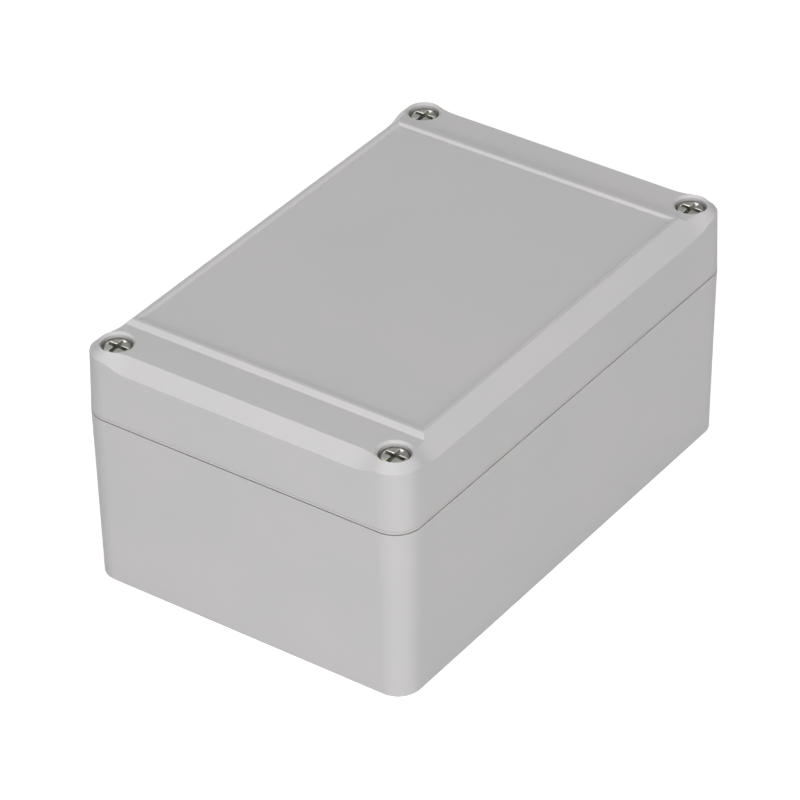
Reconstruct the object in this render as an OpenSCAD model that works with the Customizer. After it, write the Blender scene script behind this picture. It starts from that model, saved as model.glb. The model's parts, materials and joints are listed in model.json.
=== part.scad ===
// Two-part moulded project box, 120 x 80 x 57.2 mm.
// A deep base and a shallow lid meet at a gasketed rim and are held by four captive screws that run
// in brass inserts. The frame has its origin at the middle of the underside, +X along the box and +Z up.

/* [Body] */
// Length of the box at the parting line
box_length = 120; // [110:1:160]
// Width of the box at the parting line
box_width = 80; // [74:1:120]
// Height of the base, from the underside to the parting line
base_height = 40.3; // [36:0.1:60]
// Height of the lid, from the parting line to the flat terrace round the screws
lid_height = 15.9; // [15:0.1:20]
// Radius of the upright corners at the parting line
corner_r = 6; // [5.6:0.1:7]
// Draft of the base walls, in degrees
base_draft = 1.05; // [0.5:0.05:1.5]
// Draft of the lid walls, in degrees
lid_draft = 1.4; // [0.5:0.05:2]
// Thickness of the floor
floor_t = 2.8; // [2:0.1:4]
// Thickness of the base walls at the underside
wall_t = 2.5; // [2:0.1:2.6]

/* [Lid top] */
// Depth of the broad chamfer round the lid top
chamfer = 3; // [2.5:0.1:3.2]
// Depth of the smaller chamfer round each screw boss
boss_chamfer = 1.75; // [1.5:0.05:1.8]
// Radius of the hollow where the broad chamfer runs out against a boss
blend_r = 9.5; // [6:0.5:10]
// Height of the rim that frames the label recess, above the terrace
rim_height = 1; // [0.8:0.1:1.6]
// Distance from the end of the box to the foot of that rim
terrace_depth = 12.2; // [12:0.1:16]
// Width of the flat land on top of the rim
rim_land = 0.75; // [0.4:0.05:1]
// Depth of the label recess
recess_depth = 0.55; // [0.4:0.05:0.8]

/* [Lid screws] */
// Distance of each screw axis from the box edges
screw_inset = 6; // [5.8:0.1:6.4]
// Radius of a screw head
head_r = 3; // [2.8:0.05:3.05]
// Height of a screw head
head_h = 3; // [2.6:0.1:3.2]
// Depth of a screw head below the terrace
head_drop = 0.85; // [0.8:0.05:1.4]
// Outer radius of the thread
thread_r = 2; // [1.8:0.05:2]
// Travel of a screw from tight to the point where its thread is held by the lid
screw_travel = 7.2; // [6.6:0.1:7.4]

/* [Base fittings] */
// Length of a threaded insert
insert_length = 8; // [6:0.5:10]
// Outer radius of a threaded insert
insert_r = 2.8; // [2.6:0.1:3]
// Distance along the box from a lid screw to the wall-fixing hole beside it
fixing_step = 9; // [8.8:0.1:9.5]
// Distance of a wall-fixing hole from the side of the box
fixing_inset = 6.5; // [6.3:0.1:6.8]
// Radius of a wall-fixing hole
fixing_r = 2.25; // [1.8:0.05:2.5]
// Distance between the board posts along the box
post_pitch_x = 96; // [80:1:98]
// Distance between the board posts across the box
post_pitch_y = 44; // [30:1:46]
// Height of a board post above the floor
post_height = 6; // [4:0.5:10]
// Number of board slots in each long wall
slot_count = 5; // [1:2:5]

/* [Hidden] */
$fn = 64;

eps = 0.01;
over = 1;
half_x = box_length / 2;
half_y = box_width / 2;

// Heights of the main planes
part_z = base_height;
terrace_z = part_z + lid_height;
chamfer_z = terrace_z - chamfer;
rim_z = terrace_z + rim_height;
lid_lean = tan(lid_draft);

// Foot of the lid: an open gap round the contact face, a slim bead above it and a fine line over the bead
gap_h = 0.25;
gap_in = 0.75;
bead_top = 0.8;
bead_run = 0.15;
foot_h = 0.9;
line_in = 0.35;

// Screw bosses, concentric with the upright corners
screw_x = half_x - screw_inset;
screw_y = half_y - screw_inset;
boss_z = terrace_z - boss_chamfer;
boss_top_r = corner_r - lid_lean * (boss_z - part_z) - boss_chamfer;

// Lid wall faces at the lower edge of the broad chamfer
crown_x = half_x - lid_lean * (chamfer_z - part_z);
crown_y = half_y - lid_lean * (chamfer_z - part_z);

// The hollow blend has a fixed upright axis outside the wall, placed so that it touches both the broad
// chamfer and the boss cone at every height
boss_foot_r = boss_top_r + chamfer;
blend_step_x = sqrt(pow(blend_r + boss_foot_r, 2) - pow(crown_x + blend_r - screw_x, 2));
blend_step_y = sqrt(pow(blend_r + boss_foot_r, 2) - pow(crown_y + blend_r - screw_y, 2));

// Rim round the label recess
rim_foot_x = half_x - terrace_depth;
rim_foot_y = crown_y - chamfer;
rim_top_x = rim_foot_x - rim_height;
rim_top_y = rim_foot_y - rim_height;

// Clear space inside the box and the corner pods that stand in it, each round a wall-fixing hole
inner_x = half_x - part_z * tan(base_draft) - wall_t;
inner_y = half_y - part_z * tan(base_draft) - wall_t;
fixing_x = screw_x - fixing_step;
fixing_y = half_y - fixing_inset;
pod_r = 3.4;
pod_reach = 6.3;

// Rim seal: steps outward from the inner wall line of the base
tongue_in = 0.5;
tongue_w = 1;
tongue_h = 1.6;
groove_in = 0.2;
groove_w = 1.6;
groove_h = 3;
lip_w = 1;
seal_gap = 0.05;
roof_t = 2.5;
ceiling_z = terrace_z - roof_t;

// Screw and insert
head_clear = 0.35;
counterbore_r = head_r + head_clear;
lip_chamfer = 0.5;
neck_r = 1.45;
collar_r = 1.65;
collar_h = 2;
shank_clear_r = 2.4;
head_top_z = terrace_z - head_drop;
head_seat_z = head_top_z - head_h;
collar_z = head_seat_z - collar_h;
stop_play = 0.5;
thread_top_z = collar_z - screw_travel - stop_play;
thread_length = 9;
tip_chamfer = 0.5;
thread_runout = 0.5;
insert_drop = 0.2;
insert_top_z = part_z - insert_drop;
insert_bore_r = thread_r + 0.05;
insert_chamfer = 0.3;
pilot_band = 0.8;
knurl_band = 2.6;
knurl_depth = 0.35;
tower_bore_z = floor_t + 4;

// Open well in each pod, beside the insert tower, for a wall-fixing screw
well_wall = 1.8;
well_out = 0.6;
well_floor = 3.2;
tower_r = 5;
lid_well_wall = 3;
lid_well_roof = 1;

CORNERS = [[-1, -1], [1, -1], [-1, 1], [1, 1]];

// Slab along Y whose two long faces lean in by run over its height
module leaning_slab(half, reach, h, run) {
    rotate([90, 0, 0])
        linear_extrude(height = 2 * reach, center = true)
            polygon([[-half, 0], [half, 0], [half - run, h], [run - half, h]]);
}

// Block with rounded upright corners and leaning walls
module leaning_block(hx, hy, r, h, run) {
    leaning_slab(hx, hy - r, h, run);
    rotate([0, 0, 90])
        leaning_slab(hy, hx - r, h, run);
    for (c = CORNERS)
        translate([c[0] * (hx - r), c[1] * (hy - r), 0])
            cylinder(r1 = r, r2 = r - run, h = h);
}

// Block with mitred corners and leaning walls
module mitred_block(hx, hy, h, run) {
    intersection() {
        leaning_slab(hx, hy + h, h, run);
        rotate([0, 0, 90])
            leaning_slab(hy, hx + h, h, run);
    }
}

// Plan of the corner pods, which stand outside the seal; r rounds the corner that faces the middle
module pod_plan(r) {
    for (c = CORNERS)
        mirror([c[0] < 0 ? 1 : 0, 0])
            mirror([0, c[1] < 0 ? 1 : 0])
                translate([fixing_x - pod_reach + pod_r, fixing_y - pod_reach + pod_r]) {
                    circle(r);
                    translate([0, -r])
                        square([half_x, half_y]);
                    translate([-r, 0])
                        square([half_x, half_y]);
                }
}

// Plan of the sealed space, grown outward by step
module inner_plan(step) {
    difference() {
        square([2 * (inner_x + step), 2 * (inner_y + step)], center = true);
        pod_plan(pod_r - step);
    }
}

// Plan of the wells: the inside of each pod, less the round tower that carries the insert
module well_plan(wall) {
    difference() {
        intersection() {
            pod_plan(pod_r - wall);
            square([2 * screw_x, 2 * (inner_y + well_out)], center = true);
        }
        at_screws()
            circle(tower_r);
    }
}

// Band that follows the rim between two steps outward from the inner wall line
module rim_band(from, to, h) {
    linear_extrude(height = h)
        difference() {
            inner_plan(to);
            inner_plan(from);
        }
}

module at_screws() {
    for (c = CORNERS)
        translate([c[0] * screw_x, c[1] * screw_y, 0])
            children();
}

module at_fixings() {
    for (c = CORNERS)
        translate([c[0] * fixing_x, c[1] * fixing_y, 0])
            children();
}

// Post with a pilot hole for a thread-forming board screw
post_r = 3.2;
post_foot_r = 3.6;
pilot_r = 1.25;
pilot_depth = 6.5;
module board_posts() {
    for (c = CORNERS)
        translate([c[0] * post_pitch_x / 2, c[1] * post_pitch_y / 2, floor_t - eps])
            cylinder(r1 = post_foot_r, r2 = post_r, h = post_height + eps);
}

module pilot_holes() {
    for (c = CORNERS)
        translate([c[0] * post_pitch_x / 2, c[1] * post_pitch_y / 2, floor_t + post_height - pilot_depth])
            cylinder(r = pilot_r, h = pilot_depth + over);
}

// Pairs of slim ribs on the long walls that guide upright boards
slot_pitch = 14;
slot_gap = 1.8;
rib_t = 1.2;
rib_depth = 1.6;
rib_top_z = 33;
module board_slots() {
    first = -(slot_count - 1) / 2 * slot_pitch;
    for (i = [0 : slot_count - 1], side = [-1, 1], edge = [-1, 1])
        translate([first + i * slot_pitch + edge * (slot_gap + rib_t) / 2, side * inner_y, floor_t - eps])
            linear_extrude(height = rib_top_z - floor_t)
                square([rib_t, 2 * rib_depth], center = true);
}

// Small sloping fillets where the floor meets the straight stretches of wall
fillet = 1.2;
module floor_fillets() {
    section = [[-fillet, 0], [0, 0], [0, fillet]];
    for (end = [0, 180])
        translate([0, 0, floor_t])
            rotate([0, 0, end]) {
                translate([inner_x, 0, 0])
                    rotate([90, 0, 0])
                        linear_extrude(height = 2 * (fixing_y - pod_reach), center = true)
                            polygon(section);
                translate([0, inner_y, 0])
                    rotate([90, 0, 90])
                        linear_extrude(height = 2 * (fixing_x - pod_reach), center = true)
                            polygon(section);
            }
}

module base_shell() {
    color("#c9cbc8")
        difference() {
            union() {
                difference() {
                    translate([0, 0, part_z])
                        mirror([0, 0, 1])
                            leaning_block(half_x, half_y, corner_r, part_z, part_z * tan(base_draft));
                    translate([0, 0, floor_t])
                        linear_extrude(height = part_z)
                            inner_plan(0);
                }
                translate([0, 0, part_z - eps])
                    rim_band(tongue_in, tongue_in + tongue_w, tongue_h + eps);
                board_posts();
                board_slots();
                floor_fillets();
            }
            pilot_holes();
            at_screws() {
                translate([0, 0, insert_top_z - insert_length])
                    cylinder(r = insert_r, h = insert_length + over);
                translate([0, 0, tower_bore_z])
                    cylinder(r = insert_bore_r, h = part_z);
            }
            translate([0, 0, well_floor])
                linear_extrude(height = part_z)
                    well_plan(well_wall);
            at_fixings()
                translate([0, 0, -over])
                    cylinder(r = fixing_r, h = well_floor + 2 * over);
        }
}

// Broad chamfers of the lid top, running out against the boss cones in hollow blends
module crown() {
    leaning_slab(crown_x, screw_y - blend_step_x, chamfer, chamfer);
    rotate([0, 0, 90])
        leaning_slab(crown_y, screw_x - blend_step_y, chamfer, chamfer);
    at_screws()
        cylinder(r1 = boss_foot_r, r2 = boss_top_r, h = chamfer);
    for (c = CORNERS)
        mirror([c[0] < 0 ? 1 : 0, 0, 0])
            mirror([0, c[1] < 0 ? 1 : 0, 0])
                blend_web();
}

// Web between the chamfers and one boss, hollowed by the two blend cones
module blend_web() {
    axis_end = [crown_x + blend_r, screw_y - blend_step_x];
    axis_side = [screw_x - blend_step_y, crown_y + blend_r];
    difference() {
        linear_extrude(height = chamfer)
            polygon([[axis_side[0], axis_end[1]], axis_end, [screw_x, screw_y], axis_side]);
        for (a = [axis_end, axis_side])
            translate([a[0], a[1], 0])
                cylinder(r1 = blend_r, r2 = blend_r + chamfer, h = chamfer);
    }
}

// Solid form of the lid, before it is hollowed
module lid_form() {
    wall_h = chamfer_z - part_z - foot_h;
    set_in = lid_lean * foot_h;
    translate([0, 0, part_z])
        leaning_block(half_x - gap_in, half_y - gap_in, corner_r - gap_in, gap_h, 0);
    translate([0, 0, part_z + gap_h])
        leaning_block(half_x, half_y, corner_r, bead_top - gap_h, bead_run);
    translate([0, 0, part_z + bead_top])
        leaning_block(half_x - line_in, half_y - line_in, corner_r - line_in, foot_h - bead_top, 0);
    translate([0, 0, part_z + foot_h])
        leaning_block(half_x - set_in, half_y - set_in, corner_r - set_in, wall_h, wall_h * lid_lean);
    translate([0, 0, chamfer_z])
        intersection() {
            leaning_block(crown_x, crown_y, corner_r - lid_lean * (chamfer_z - part_z), chamfer,
                chamfer * lid_lean);
            crown();
        }
    translate([0, 0, terrace_z])
        mitred_block(rim_foot_x, rim_foot_y, rim_height, rim_height);
}

// Shallow recess for a label or a membrane keypad, with sloping sides
module label_recess() {
    floor_x = rim_top_x - rim_land - recess_depth;
    floor_y = rim_top_y - rim_land - recess_depth;
    translate([0, 0, rim_z - recess_depth])
        mitred_block(floor_x, floor_y, recess_depth + over, -recess_depth - over);
}

module lid_shell() {
    color("#c9cbc8")
        difference() {
            lid_form();
            label_recess();
            translate([0, 0, part_z - over])
                linear_extrude(height = ceiling_z - part_z + over)
                    inner_plan(groove_in - lip_w);
            translate([0, 0, part_z - over])
                rim_band(groove_in, groove_in + groove_w, groove_h + over);
            at_screws() {
                translate([0, 0, head_seat_z])
                    cylinder(r = counterbore_r, h = head_h + head_drop + over);
                translate([0, 0, terrace_z - lip_chamfer])
                    cylinder(r1 = counterbore_r, r2 = counterbore_r + lip_chamfer, h = lip_chamfer);
                translate([0, 0, part_z - over])
                    cylinder(r = collar_r, h = lid_height + over);
                translate([0, 0, part_z - over])
                    cylinder(r = shank_clear_r, h = collar_z - part_z + over);
            }
            translate([0, 0, part_z - over])
                linear_extrude(height = ceiling_z - lid_well_roof - part_z + over)
                    well_plan(lid_well_wall);
        }
}

// Foamed seal that fills the top of the lid groove and rests on the tongue of the base
module lid_gasket() {
    color("#3a3c3d")
        translate([0, 0, part_z + tongue_h])
            rim_band(groove_in + seal_gap, groove_in + groove_w - seal_gap, groove_h - tongue_h);
}

// Captive screw: pan head with a cross recess, slim neck, short thread
cross_reach = 2.35;
cross_tip = 0.6;
cross_w = 1;
cross_depth = 2.1;
edge_r = 1;
crown_h = 0.12;
module cross_recess() {
    for (turn = [0, 90])
        rotate([90, 0, turn])
            linear_extrude(height = cross_w, center = true)
                polygon([[-cross_reach, over], [-cross_reach, 0], [-cross_tip, -cross_depth],
                    [cross_tip, -cross_depth], [cross_reach, 0], [cross_reach, over]]);
}

module lid_screw(at) {
    tip_z = thread_top_z - thread_length;
    edge_z = head_top_z - crown_h - edge_r;
    color("#b9b7b0")
        translate([at[0] * screw_x, at[1] * screw_y, 0])
            difference() {
                rotate_extrude()
                    polygon(concat(
                        [
                            [0, tip_z],
                            [thread_r - tip_chamfer, tip_z],
                            [thread_r, tip_z + tip_chamfer],
                            [thread_r, thread_top_z - thread_runout],
                            [neck_r, thread_top_z],
                            [neck_r, head_seat_z],
                            [head_r, head_seat_z]
                        ],
                        [for (a = [0 : 15 : 90]) [head_r - edge_r + edge_r * cos(a), edge_z + edge_r * sin(a)]],
                        [[0, head_top_z]]
                    ));
                translate([0, 0, head_top_z - crown_h])
                    cross_recess();
            }
}

// Heat-set insert: plain pilot, two knurled bands and a groove between them
module insert(at) {
    bottom = insert_top_z - insert_length;
    lower_z = bottom + pilot_band;
    root_r = insert_r - knurl_depth;
    color("#c9a24a")
        translate([at[0] * screw_x, at[1] * screw_y, 0])
            rotate_extrude()
                polygon([
                    [insert_bore_r, bottom],
                    [root_r, bottom],
                    [root_r, lower_z],
                    [insert_r, lower_z + knurl_depth],
                    [insert_r, lower_z + knurl_band],
                    [root_r, lower_z + knurl_band + knurl_depth],
                    [root_r, insert_top_z - knurl_band - knurl_depth],
                    [insert_r, insert_top_z - knurl_band],
                    [insert_r, insert_top_z],
                    [insert_bore_r + insert_chamfer, insert_top_z],
                    [insert_bore_r, insert_top_z - insert_chamfer]
                ]);
}

base_shell();
lid_shell();
lid_gasket();
lid_screw(CORNERS[0]);  // lid_screw_left_front
lid_screw(CORNERS[1]);  // lid_screw_right_front
lid_screw(CORNERS[2]);  // lid_screw_left_rear
lid_screw(CORNERS[3]);  // lid_screw_right_rear
insert(CORNERS[0]);  // insert_left_front
insert(CORNERS[1]);  // insert_right_front
insert(CORNERS[2]);  // insert_left_rear
insert(CORNERS[3]);  // insert_right_rear
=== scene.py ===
import json
import math

import bmesh
import bpy
from mathutils import Matrix, Vector


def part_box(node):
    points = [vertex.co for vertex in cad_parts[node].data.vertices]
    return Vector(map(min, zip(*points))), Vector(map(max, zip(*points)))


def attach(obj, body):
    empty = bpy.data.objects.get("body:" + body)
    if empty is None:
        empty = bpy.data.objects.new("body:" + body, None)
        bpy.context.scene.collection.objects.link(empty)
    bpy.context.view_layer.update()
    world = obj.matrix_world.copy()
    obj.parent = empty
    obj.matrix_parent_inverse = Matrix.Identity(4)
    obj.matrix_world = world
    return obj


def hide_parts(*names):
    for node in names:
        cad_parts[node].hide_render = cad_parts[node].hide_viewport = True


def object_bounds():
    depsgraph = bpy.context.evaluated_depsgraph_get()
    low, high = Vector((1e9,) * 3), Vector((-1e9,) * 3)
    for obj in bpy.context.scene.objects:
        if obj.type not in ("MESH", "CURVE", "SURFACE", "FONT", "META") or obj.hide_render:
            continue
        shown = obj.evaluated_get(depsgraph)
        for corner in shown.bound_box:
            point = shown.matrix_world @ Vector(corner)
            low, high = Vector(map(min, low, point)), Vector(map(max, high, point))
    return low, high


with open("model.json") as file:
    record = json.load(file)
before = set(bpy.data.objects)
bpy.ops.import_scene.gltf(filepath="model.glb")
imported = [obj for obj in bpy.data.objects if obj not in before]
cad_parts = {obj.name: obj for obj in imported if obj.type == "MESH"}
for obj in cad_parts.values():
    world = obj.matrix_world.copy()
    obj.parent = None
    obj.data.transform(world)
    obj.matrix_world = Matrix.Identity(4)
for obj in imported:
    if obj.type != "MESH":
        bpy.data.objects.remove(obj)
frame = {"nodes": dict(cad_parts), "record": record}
cad_low, cad_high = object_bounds()

MM = 0.001  # the scene is in metres
scene = bpy.context.scene
scene.view_settings.view_transform = "Standard"


# ---------------------------------------------------------------- colours and nodes

def linear(hex_colour):
    """An sRGB hex colour as the linear RGBA that shader sockets take."""
    channels = [int(hex_colour[i:i + 2], 16) / 255 for i in (0, 2, 4)]
    curve = [c / 12.92 if c <= 0.04045 else ((c + 0.055) / 1.055) ** 2.4 for c in channels]
    return (*curve, 1.0)


def add_node(tree, kind, settings=None, **links):
    """Adds a node. settings holds properties and socket values; links feeds sockets from other outputs."""
    made = tree.nodes.new(kind)
    for name, value in (settings or {}).items():
        if name in made.inputs:
            made.inputs[name].default_value = value
        else:
            setattr(made, name, value)
    for name, output in links.items():
        tree.links.new(output, made.inputs[name.replace("_", " ")])
    return made


def new_material(name):
    """An empty material and its node tree."""
    material = bpy.data.materials.new(name)
    material.use_nodes = True
    tree = material.node_tree
    tree.nodes.clear()
    return material, tree


def finish_material(tree, shader):
    """Leads the shader to the surface of its material."""
    output = add_node(tree, "ShaderNodeOutputMaterial")
    tree.links.new(shader.outputs[0], output.inputs["Surface"])


# ---------------------------------------------------------------- materials

MELT_CLOUD = 30 * MM
MOULD_GRAIN = 0.25 * MM
MOULD_GRAIN_DEPTH = 0.006 * MM
EDGE_RADIUS = 0.22 * MM


def moulded_abs():
    """Injection-moulded ABS, light grey, from a spark-eroded tool: an even satin with soft edges."""
    material, tree = new_material("moulded_abs_light_grey")
    place = add_node(tree, "ShaderNodeTexCoord").outputs["Object"]
    # the flow of the melt leaves a faint cloudiness a few centimetres wide
    cloud = add_node(tree, "ShaderNodeTexNoise", {"Scale": 1 / MELT_CLOUD, "Detail": 2.0}, Vector=place)
    colour = add_node(tree, "ShaderNodeValToRGB", Fac=cloud.outputs["Fac"])
    colour.color_ramp.elements[0].position = 0.3
    colour.color_ramp.elements[0].color = linear("c4c3c3")
    colour.color_ramp.elements[1].position = 0.7
    colour.color_ramp.elements[1].color = linear("c7c5c5")
    # the tool's fine pitting, about a quarter of a millimetre across
    grain = add_node(tree, "ShaderNodeTexNoise",
                     {"Scale": 1 / MOULD_GRAIN, "Detail": 3.0, "Roughness": 0.6}, Vector=place)
    gloss = add_node(tree, "ShaderNodeMapRange", {"To Min": 0.40, "To Max": 0.50},
                     Value=grain.outputs["Fac"])
    # every moulded edge is slightly rounded
    edges = add_node(tree, "ShaderNodeBevel", {"samples": 8, "Radius": EDGE_RADIUS})
    bump = add_node(tree, "ShaderNodeBump", {"Strength": 0.35, "Distance": MOULD_GRAIN_DEPTH},
                    Height=grain.outputs["Fac"], Normal=edges.outputs["Normal"])
    shader = add_node(tree, "ShaderNodeBsdfPrincipled", {"IOR": 1.53},
                      Base_Color=colour.outputs["Color"], Roughness=gloss.outputs["Result"],
                      Normal=bump.outputs["Normal"])
    finish_material(tree, shader)
    return material


PLATING_CLOUD = 0.8 * MM
TOOL_MARK = 0.12 * MM
STEEL_MARK_DEPTH = 0.004 * MM
BRASS_MARK_DEPTH = 0.005 * MM


def nickel_plated_steel():
    """Nickel-plated steel, cold-formed and tumbled: a warm grey metal with a soft, uneven gloss."""
    material, tree = new_material("nickel_plated_steel")
    place = add_node(tree, "ShaderNodeTexCoord").outputs["Object"]
    wear = add_node(tree, "ShaderNodeTexNoise", {"Scale": 1 / PLATING_CLOUD, "Detail": 4.0}, Vector=place)
    gloss = add_node(tree, "ShaderNodeMapRange", {"To Min": 0.24, "To Max": 0.34},
                     Value=wear.outputs["Fac"])
    colour = add_node(tree, "ShaderNodeValToRGB", Fac=wear.outputs["Fac"])
    colour.color_ramp.elements[0].color = linear("a5a5a0")
    colour.color_ramp.elements[1].color = linear("bbbbb5")
    fine = add_node(tree, "ShaderNodeTexNoise", {"Scale": 1 / TOOL_MARK, "Detail": 2.0}, Vector=place)
    bump = add_node(tree, "ShaderNodeBump", {"Strength": 0.12, "Distance": STEEL_MARK_DEPTH},
                    Height=fine.outputs["Fac"])
    shader = add_node(tree, "ShaderNodeBsdfPrincipled", {"Metallic": 1.0},
                      Base_Color=colour.outputs["Color"], Roughness=gloss.outputs["Result"],
                      Normal=bump.outputs["Normal"])
    finish_material(tree, shader)
    return material


def machined_brass():
    """Free-cutting brass, turned and knurled: bright yellow metal with fine tool marks."""
    material, tree = new_material("machined_brass")
    place = add_node(tree, "ShaderNodeTexCoord").outputs["Object"]
    marks = add_node(tree, "ShaderNodeTexNoise", {"Scale": 1 / TOOL_MARK, "Detail": 3.0}, Vector=place)
    colour = add_node(tree, "ShaderNodeValToRGB", Fac=marks.outputs["Fac"])
    colour.color_ramp.elements[0].color = linear("c29a4c")
    colour.color_ramp.elements[1].color = linear("dcb968")
    gloss = add_node(tree, "ShaderNodeMapRange", {"To Min": 0.20, "To Max": 0.36},
                     Value=marks.outputs["Fac"])
    bump = add_node(tree, "ShaderNodeBump", {"Strength": 0.3, "Distance": BRASS_MARK_DEPTH},
                    Height=marks.outputs["Fac"])
    shader = add_node(tree, "ShaderNodeBsdfPrincipled", {"Metallic": 1.0},
                      Base_Color=colour.outputs["Color"], Roughness=gloss.outputs["Result"],
                      Normal=bump.outputs["Normal"])
    finish_material(tree, shader)
    return material


FOAM_CELL = 0.35 * MM
FOAM_CELL_DEPTH = 0.05 * MM


def foamed_seal():
    """Foamed polyurethane seal, poured into the groove: matt dark grey with fine closed cells."""
    material, tree = new_material("foamed_polyurethane_seal")
    place = add_node(tree, "ShaderNodeTexCoord").outputs["Object"]
    cells = add_node(tree, "ShaderNodeTexVoronoi", {"Scale": 1 / FOAM_CELL}, Vector=place)
    colour = add_node(tree, "ShaderNodeValToRGB", Fac=cells.outputs["Distance"])
    colour.color_ramp.elements[0].color = linear("2b2c2e")
    colour.color_ramp.elements[1].color = linear("3f4143")
    bump = add_node(tree, "ShaderNodeBump", {"Strength": 0.5, "Distance": FOAM_CELL_DEPTH},
                    Height=cells.outputs["Distance"])
    shader = add_node(tree, "ShaderNodeBsdfPrincipled", {"Roughness": 0.85, "IOR": 1.5},
                      Base_Color=colour.outputs["Color"], Normal=bump.outputs["Normal"])
    finish_material(tree, shader)
    return material


def dress(piece, material):
    """Gives every slot of a piece the one material."""
    if not piece.material_slots:
        piece.data.materials.append(material)
    for held in piece.material_slots:
        held.material = material


# the finish of each material slot in the record
FINISHES = {
    "housing": moulded_abs(),
    "screw_steel": nickel_plated_steel(),
    "insert_brass": machined_brass(),
    "seal": foamed_seal(),
}


# ---------------------------------------------------------------- meshes, drawn in millimetres

SHARP_EDGE = math.radians(32)  # faces that meet more steeply than this keep an edge between them


def mesh_of(name, points, faces):
    """A mesh from points in millimetres and the faces between them, all facing outward."""
    shape = bmesh.new()
    made = [shape.verts.new(p) for p in points]
    for face in faces:
        shape.faces.new([made[i] for i in face])
    bmesh.ops.recalc_face_normals(shape, faces=shape.faces)
    mesh = bpy.data.meshes.new(name)
    shape.to_mesh(mesh)
    shape.free()
    return mesh


def smooth(mesh):
    """Shades a mesh smoothly, apart from its sharp edges."""
    mesh.polygons.foreach_set("use_smooth", [True] * len(mesh.polygons))
    mesh.set_sharp_from_angle(angle=SHARP_EDGE)


def faces_between(rows, columns, closed):
    """Quads between neighbouring rings of points; closed joins the last ring to the first."""
    pairs = [(i, (i + 1) % rows) for i in range(rows if closed else rows - 1)]
    return [
        (a * columns + k, a * columns + (k + 1) % columns, b * columns + (k + 1) % columns, b * columns + k)
        for a, b in pairs for k in range(columns)
    ]


def cone_faces(first, columns, tip):
    """Triangles from the ring that starts at point first to the point tip."""
    return [(first + k, first + (k + 1) % columns, tip) for k in range(columns)]


def rings(rows, columns):
    """Points of rings, given as (radius, z); a radius may be a function of the angle."""
    points = []
    for radius, z in rows:
        for k in range(columns):
            angle = 2 * math.pi * k / columns
            r = radius(angle) if callable(radius) else radius
            points.append((r * math.cos(angle), r * math.sin(angle), z))
    return points


def arc(cx, cz, radius, start, end, steps):
    """Points (r, z) of a quarter round or less, from start to end in degrees."""
    turns = [math.radians(start + (end - start) * i / steps) for i in range(steps + 1)]
    return [(cx + radius * math.cos(t), cz + radius * math.sin(t)) for t in turns]


def add_piece(name, mesh, place, body, slot, node):
    """Puts a finished mesh in the scene, on a body and in the place of a CAD node."""
    mesh.transform(Matrix.Translation(place) @ Matrix.Scale(MM, 4))
    smooth(mesh)
    piece = bpy.data.objects.new(name, mesh)
    scene.collection.objects.link(piece)
    dress(piece, FINISHES[slot])
    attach(piece, body)
    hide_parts(node)


# ---------------------------------------------------------------- threads

PITCH = 0.7
ROWS_PER_PITCH = 8
FLAT_CREST = 0.16  # share of the pitch
RUNOUT = 0.35


def ridge(angle, z, start, end):
    """Height of a thread at a point, from 0 at its root to 1 at its crest; it fades at both ends."""
    phase = (z / PITCH - angle / (2 * math.pi)) % 1.0
    slope = 0.5 - FLAT_CREST / 2
    height = min(1.0, max(0.0, (0.5 - abs(phase - 0.5)) / slope))
    fade = min(1.0, max(0.0, (z - start) / RUNOUT), max(0.0, (end - z) / RUNOUT))
    return height * fade


def threaded(z, root, crest, start, end):
    """Radius round a thread at one height."""
    def radius(angle):
        return root + (crest - root) * ridge(angle, z, start, end)
    return radius


def threaded_rows(root, crest, start, end):
    """Rings (radius function, z) of a helical thread between two heights."""
    count = round((end - start) / PITCH * ROWS_PER_PITCH)
    heights = [start + (end - start) * i / count for i in range(count + 1)]
    return [(threaded(z, root, crest, start, end), z) for z in heights]


# ---------------------------------------------------------------- lid screws

# heights run upward from the tip of the screw
SCREW_COLUMNS = 40
TIP_R = 1.25
TIP_CHAMFER = 0.4
CORE_R = 1.57
CREST_R = 1.98
THREAD_END = 9.0
NECK_STEP = 0.15
NECK_R = 1.45
SEAT = 18.7
SEAT_CHAMFER = 0.1
HEAD_R = 2.99
HEAD_HEIGHT = 3.0
HEAD_TOP = SEAT + HEAD_HEIGHT
EDGE_R = 0.5
EDGE_TURN = 84  # degrees of the rounded edge, which then meets the crown
EDGE_STEPS = 7
CROWN = 0.2
CROWN_SHARES = (0.82, 0.5, 0.25)  # radii of the rings on the crown, as shares of the head's

# cross recess: reach and half width of an arm, and where two arms meet, at the mouth and at the foot
RECESS_REACH = 2.4
RECESS_FOOT_REACH = 1.7
RECESS_HALF_W = 0.52
RECESS_FOOT_HALF_W = 0.33
RECESS_CORNER = 0.62
RECESS_FOOT_CORNER = 0.34
RECESS_FLARE = 0.1
RECESS_DEPTH = 1.7
RECESS_POINT = 2.1
RECESS_OVER = 0.5


def recess_ring(share, flare, z):
    """Outline of the cross recess: share 0 is the mouth and 1 the foot of the arms; flare widens it."""
    def between(mouth, foot):
        return mouth + (foot - mouth) * share + flare
    reach = between(RECESS_REACH, RECESS_FOOT_REACH)
    half = between(RECESS_HALF_W, RECESS_FOOT_HALF_W)
    corner = between(RECESS_CORNER, RECESS_FOOT_CORNER)
    arm = [(corner, -half), (reach, -half), (reach, half), (corner, half)]
    points = []
    for k in range(4):
        turn = Matrix.Rotation(k * math.pi / 2, 3, "Z")
        points += [tuple(turn @ Vector((x, y, z))) for x, y in arm]
    return points


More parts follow.
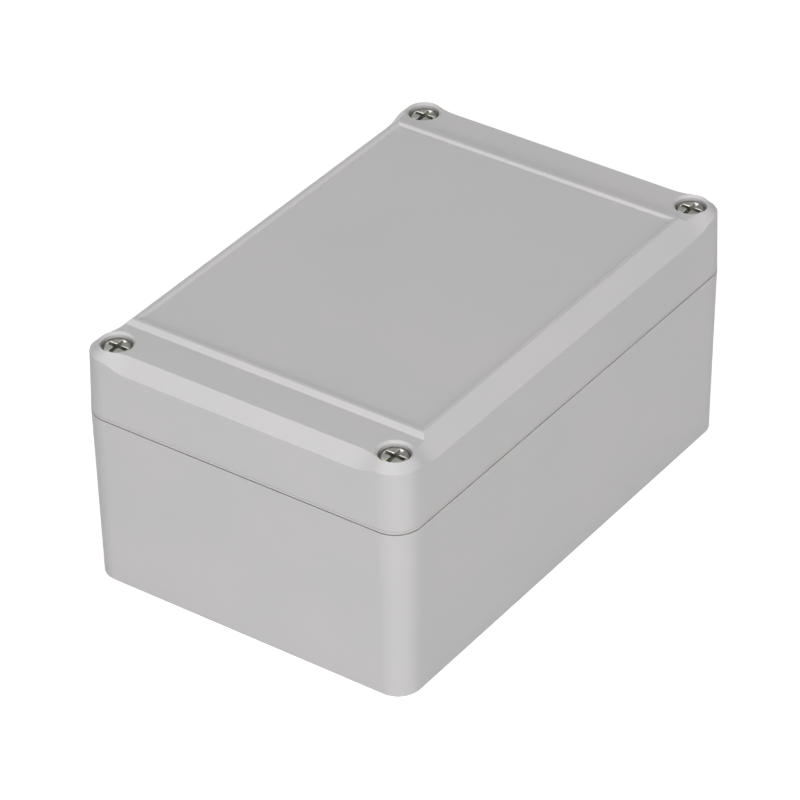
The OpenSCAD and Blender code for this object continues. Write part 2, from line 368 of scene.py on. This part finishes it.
def recess_cutter():
    """The punch that forms the cross: four tapered arms that meet in a pointed middle."""
    mouth = HEAD_TOP - CROWN / 2
    levels = [
        (0.0, RECESS_FLARE, HEAD_TOP + RECESS_OVER),
        (0.0, RECESS_FLARE, mouth),
        (0.0, 0.0, mouth - RECESS_FLARE),
        (1.0, 0.0, HEAD_TOP - RECESS_DEPTH),
    ]
    points = [point for level in levels for point in recess_ring(*level)]
    middle = len(points)
    around = middle // len(levels)
    points.append((0.0, 0.0, HEAD_TOP - RECESS_POINT))
    faces = faces_between(len(levels), around, closed=False)
    faces.append(tuple(range(around)))
    faces += cone_faces(middle - around, around, middle)
    return mesh_of("recess", points, faces)


def screw_blank():
    """The screw before its recess: a short threaded shank, a slim neck and a low pan head."""
    rows = [(TIP_R, 0.0)]
    rows += threaded_rows(CORE_R, CREST_R, TIP_CHAMFER, THREAD_END)
    rows += [(NECK_R, THREAD_END + NECK_STEP), (NECK_R, SEAT)]
    rows += [(HEAD_R - SEAT_CHAMFER, SEAT), (HEAD_R, SEAT + SEAT_CHAMFER)]
    rows += arc(HEAD_R - EDGE_R, HEAD_TOP - CROWN - EDGE_R, EDGE_R, 0, EDGE_TURN, EDGE_STEPS)
    rows += [(HEAD_R * share, HEAD_TOP - CROWN * share ** 2) for share in CROWN_SHARES]
    points = rings(rows, SCREW_COLUMNS)
    tip = len(points)
    points += [(0.0, 0.0, 0.0), (0.0, 0.0, HEAD_TOP)]
    faces = faces_between(len(rows), SCREW_COLUMNS, closed=False)
    faces += cone_faces(0, SCREW_COLUMNS, tip)
    faces += cone_faces(tip - SCREW_COLUMNS, SCREW_COLUMNS, tip + 1)
    return mesh_of("screw_blank", points, faces)


def cut(blank, tool):
    """The mesh of blank with the mesh tool taken away."""
    body = bpy.data.objects.new("blank", blank)
    punch = bpy.data.objects.new("punch", tool)
    for held in (body, punch):
        scene.collection.objects.link(held)
    step = body.modifiers.new("punch", "BOOLEAN")
    step.operation = "DIFFERENCE"
    step.solver = "EXACT"
    step.object = punch
    bpy.context.view_layer.update()
    result = bpy.data.meshes.new_from_object(body.evaluated_get(bpy.context.evaluated_depsgraph_get()))
    for held in (body, punch):
        bpy.data.objects.remove(held)
    return result


# ---------------------------------------------------------------- threaded inserts

# heights run upward from the foot of the insert
INSERT_COLUMNS = 96
INSERT_LENGTH = 8.0
INSERT_R = 2.79
INSERT_GROOVE_R = 2.45
INSERT_BORE_R = 2.32
INSERT_CREST_R = 2.07
INSERT_MOUTH_R = 2.4
MOUTH_CHAMFER = 0.1
TOP_BEVEL = 0.02
TAP_START = 0.1
TAP_END = INSERT_LENGTH - 0.15
TEETH = 24
KNURL_DEPTH = 0.22
KNURL_LEAD = 18.0  # height over which a tooth would go once round
KNURL_BANDS = [(0.85, 3.7, 1), (5.1, 7.9, -1)]  # start, end, hand
BAND_STEPS = 6
BAND_SHOULDER = 0.25


def knurled(z, hand):
    """Radius round a diagonal knurl, which leans to the hand given."""
    def radius(angle):
        phase = (TEETH * (angle / (2 * math.pi) + hand * z / KNURL_LEAD)) % 1.0
        return INSERT_R - KNURL_DEPTH * (1 - abs(2 * phase - 1))
    return radius


def insert_mesh():
    """A heat-set insert: plain pilot, two knurled bands with a groove between them, and a tapped bore."""
    rows = [(INSERT_GROOVE_R, 0.0)]
    for start, end, hand in KNURL_BANDS:
        heights = [start + (end - start) * i / BAND_STEPS for i in range(BAND_STEPS + 1)]
        rows.append((INSERT_GROOVE_R, start - BAND_SHOULDER))
        rows += [(knurled(z, hand), z) for z in heights]
        rows.append((INSERT_GROOVE_R, min(end + BAND_SHOULDER, INSERT_LENGTH - TOP_BEVEL)))
    rows += [(INSERT_MOUTH_R, INSERT_LENGTH), (INSERT_BORE_R, INSERT_LENGTH - MOUTH_CHAMFER)]
    rows += reversed(threaded_rows(INSERT_BORE_R, INSERT_CREST_R, TAP_START, TAP_END))
    rows.append((INSERT_BORE_R, 0.0))
    points = rings(rows, INSERT_COLUMNS)
    return mesh_of("insert", points, faces_between(len(rows), INSERT_COLUMNS, closed=True))


# ---------------------------------------------------------------- gasket

POD_TURN = Vector((39.7, 28.2))  # where the groove's middle line turns in round each corner pod
POD_TURN_R = 2.4
GROOVE_CORNER_R = 0.85
TURN_STEPS = 8
SEAL_W = 1.5
SEAL_EDGE_R = 0.4
SEAL_EDGE_STEPS = 3


def groove_line(half_x, half_y):
    """The closed middle line of the groove as (point, outward direction), anticlockwise."""
    quarter = [
        (half_x, -POD_TURN.y, GROOVE_CORNER_R),
        (half_x, POD_TURN.y, GROOVE_CORNER_R),
        (POD_TURN.x, POD_TURN.y, POD_TURN_R),
        (POD_TURN.x, half_y, GROOVE_CORNER_R),
    ]
    across = [(-x, y, r) for x, y, r in reversed(quarter[1:])]
    upper = quarter[1:] + across
    lower = [(-x, -y, r) for x, y, r in upper]
    corners = upper + lower
    line = []
    for i, (x, y, r) in enumerate(corners):
        here = Vector((x, y))
        before = (here - Vector(corners[i - 1][:2])).normalized()
        after = (Vector(corners[(i + 1) % len(corners)][:2]) - here).normalized()
        middle = here - before * r + after * r
        for k in range(TURN_STEPS + 1):
            turn = k / TURN_STEPS * math.pi / 2
            spoke = -after * math.cos(turn) + before * math.sin(turn)
            heading = before * math.cos(turn) + after * math.sin(turn)
            line.append((middle + spoke * r, Vector((heading.y, -heading.x))))
    return line


def gasket_mesh(low, high):
    """The poured seal: a strip that fills the top of the groove, with its free lower edges rounded."""
    half = SEAL_W / 2
    line = groove_line(high.x - half, high.y - half)
    outer = arc(half - SEAL_EDGE_R, low.z + SEAL_EDGE_R, SEAL_EDGE_R, -90, 0, SEAL_EDGE_STEPS)
    inner = [(-x, z) for x, z in reversed(outer)]
    section = [(-half, high.z)] + inner + outer + [(half, high.z)]
    points = [(p.x + n.x * x, p.y + n.y * x, z) for p, n in line for x, z in section]
    return mesh_of("gasket", points, faces_between(len(line), len(section), closed=True))


# ---------------------------------------------------------------- camera

VIEW_AZIMUTH = math.radians(-54.5)
VIEW_ELEVATION = math.radians(34.6)
VIEW_ROLL = math.radians(0.9)
VIEW_DISTANCE = 0.932
LENS_MM = 201.0
SENSOR_MM = 36.0
NEAR_CLIP = 0.05
AIM = Vector((0, 0, 27.0)) * MM
AIM_SHIFT = Vector((2.45, 2.29)) * MM  # how far the view moves left and down, to place the box in it


def make_camera():
    """A long lens looking down on the corner between the short end and the long side."""
    level = Vector((math.cos(VIEW_AZIMUTH), math.sin(VIEW_AZIMUTH), 0))
    away = Vector((math.sin(VIEW_AZIMUTH), -math.cos(VIEW_AZIMUTH), 0))
    back = away * math.cos(VIEW_ELEVATION) + Vector((0, 0, math.sin(VIEW_ELEVATION)))
    upright = back.cross(level)
    right = math.cos(VIEW_ROLL) * level - math.sin(VIEW_ROLL) * upright
    top = math.sin(VIEW_ROLL) * level + math.cos(VIEW_ROLL) * upright
    data = bpy.data.cameras.new("camera")
    data.lens = LENS_MM
    data.sensor_width = SENSOR_MM
    data.clip_start = NEAR_CLIP
    camera = bpy.data.objects.new("camera", data)
    turn = Matrix((right, top, back)).transposed().to_4x4()
    spot = AIM + back * VIEW_DISTANCE - right * AIM_SHIFT.x - top * AIM_SHIFT.y
    camera.matrix_world = Matrix.Translation(spot) @ turn
    scene.collection.objects.link(camera)
    scene.camera = camera


# ---------------------------------------------------------------- stage

FLOOR_SIZE = 6.0
FLOOR_COLOUR = "d2d2d2"
FLOOR_LIFT = 0.62  # brings the lit floor up to white where the camera or a mirroring surface sees it
SKY_LIGHT = 0.03
ROOM_DARK = 0.1
# what glossy surfaces mirror: direction, cosines where it starts and is full, strength
BRIGHT_WALL = (Vector((-0.58, 0.81, 0.35)), -0.15, 0.55, 0.9)
LEFT_SOFTBOX = (Vector((-0.57, 0.48, 0.67)), 0.75, 0.95, 1.5)
RIGHT_SOFTBOX = (Vector((0.67, -0.57, 0.48)), 0.75, 0.95, 1.3)
LAMP_DISTANCE = 1.8


def make_world():
    """A white studio that gives little light of its own.

    Glossy surfaces mirror a dim room with a bright wall and two softboxes instead.
    """
    world = bpy.data.worlds.new("studio")
    scene.world = world
    world.use_nodes = True
    tree = world.node_tree
    tree.nodes.clear()
    path = add_node(tree, "ShaderNodeLightPath")
    toward = add_node(tree, "ShaderNodeTexCoord").outputs["Generated"]
    mirrored = add_node(tree, "ShaderNodeValue")
    mirrored.outputs[0].default_value = ROOM_DARK
    for direction, start, full, strength in (BRIGHT_WALL, LEFT_SOFTBOX, RIGHT_SOFTBOX):
        facing = add_node(tree, "ShaderNodeVectorMath", {"operation": "DOT_PRODUCT"})
        tree.links.new(toward, facing.inputs[0])
        facing.inputs[1].default_value = direction.normalized()
        patch = add_node(tree, "ShaderNodeMapRange",
                         {"From Min": start, "From Max": full, "To Max": strength},
                         Value=facing.outputs["Value"])
        total = add_node(tree, "ShaderNodeMath", {"operation": "ADD"})
        tree.links.new(mirrored.outputs[0], total.inputs[0])
        tree.links.new(patch.outputs[0], total.inputs[1])
        mirrored = total
    soft = add_node(tree, "ShaderNodeBackground", {"Color": (1, 1, 1, 1), "Strength": SKY_LIGHT})
    room = add_node(tree, "ShaderNodeBackground", {"Color": (1, 1, 1, 1)}, Strength=mirrored.outputs[0])
    white = add_node(tree, "ShaderNodeBackground", {"Color": (1, 1, 1, 1), "Strength": 1.0})
    lit = add_node(tree, "ShaderNodeMixShader", Fac=path.outputs["Is Glossy Ray"])
    tree.links.new(soft.outputs[0], lit.inputs[1])
    tree.links.new(room.outputs[0], lit.inputs[2])
    seen = add_node(tree, "ShaderNodeMixShader", Fac=path.outputs["Is Camera Ray"])
    tree.links.new(lit.outputs[0], seen.inputs[1])
    tree.links.new(white.outputs[0], seen.inputs[2])
    output = add_node(tree, "ShaderNodeOutputWorld")
    tree.links.new(seen.outputs[0], output.inputs["Surface"])


def make_floor():
    """A wide pale floor at the height of the underside, which keeps the shadow of the box."""
    material, tree = new_material("studio_floor")
    path = add_node(tree, "ShaderNodeLightPath")
    paper = add_node(tree, "ShaderNodeBsdfDiffuse", {"Color": linear(FLOOR_COLOUR)})
    looked_at = add_node(tree, "ShaderNodeMath", {"operation": "MAXIMUM"})
    tree.links.new(path.outputs["Is Camera Ray"], looked_at.inputs[0])
    tree.links.new(path.outputs["Is Glossy Ray"], looked_at.inputs[1])
    lift = add_node(tree, "ShaderNodeMath", {"operation": "MULTIPLY"})
    tree.links.new(looked_at.outputs[0], lift.inputs[0])
    lift.inputs[1].default_value = FLOOR_LIFT
    glow = add_node(tree, "ShaderNodeEmission", {"Color": (1, 1, 1, 1)}, Strength=lift.outputs[0])
    both = add_node(tree, "ShaderNodeAddShader")
    tree.links.new(paper.outputs[0], both.inputs[0])
    tree.links.new(glow.outputs[0], both.inputs[1])
    finish_material(tree, both)
    shape = bmesh.new()
    bmesh.ops.create_grid(shape, x_segments=1, y_segments=1, size=FLOOR_SIZE / 2)
    mesh = bpy.data.meshes.new("floor")
    shape.to_mesh(mesh)
    shape.free()
    floor = bpy.data.objects.new("floor", mesh)
    floor.location.z = cad_low.z
    dress(floor, material)
    scene.collection.objects.link(floor)


def add_lamp(name, azimuth, elevation, size, watts, mirrored):
    """A round soft lamp that faces the box; the azimuth runs anticlockwise from +X, in degrees."""
    data = bpy.data.lights.new(name, "AREA")
    data.shape = "DISK"
    data.size = size
    data.energy = watts
    lamp = bpy.data.objects.new(name, data)
    lamp.visible_glossy = mirrored
    around, up = math.radians(azimuth), math.radians(elevation)
    toward = Vector((math.cos(around) * math.cos(up), math.sin(around) * math.cos(up), math.sin(up)))
    lamp.location = AIM + toward * LAMP_DISTANCE
    lamp.rotation_euler = toward.to_track_quat("Z", "Y").to_euler()
    scene.collection.objects.link(lamp)


make_camera()
make_world()
make_floor()
# the low lamps aren't mirrored, so that the flat top doesn't glare when it is seen against them
add_lamp("low_front", 217, 12, size=0.6, watts=20.3, mirrored=False)
add_lamp("low_back", 40, 12, size=1.0, watts=12, mirrored=False)
add_lamp("overhead", 215, 80, size=1.4, watts=21, mirrored=True)

# ---------------------------------------------------------------- dressing and fine pieces

for subpart in frame["record"]["subparts"]:
    dress(frame["nodes"][subpart["node"]], FINISHES[subpart["material_slot"]])


def foot_of(node):
    """Middle of the lowest face of a CAD node."""
    low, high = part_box(node)
    return Vector(((low.x + high.x) / 2, (low.y + high.y) / 2, low.z))


screw_mesh = cut(screw_blank(), recess_cutter())
tapped_mesh = insert_mesh()
for corner in ("left_front", "right_front", "left_rear", "right_rear"):
    add_piece(f"fine_screw_{corner}", screw_mesh.copy(), foot_of(f"lid_screw_{corner}"),
              f"screw_{corner}", "screw_steel", f"lid_screw_{corner}")
    add_piece(f"fine_insert_{corner}", tapped_mesh.copy(), foot_of(f"insert_{corner}"),
              "base", "insert_brass", f"insert_{corner}")

seal_low, seal_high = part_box("lid_gasket")
add_piece("fine_gasket", gasket_mesh(seal_low / MM, seal_high / MM), Vector(),
          "lid", "seal", "lid_gasket")
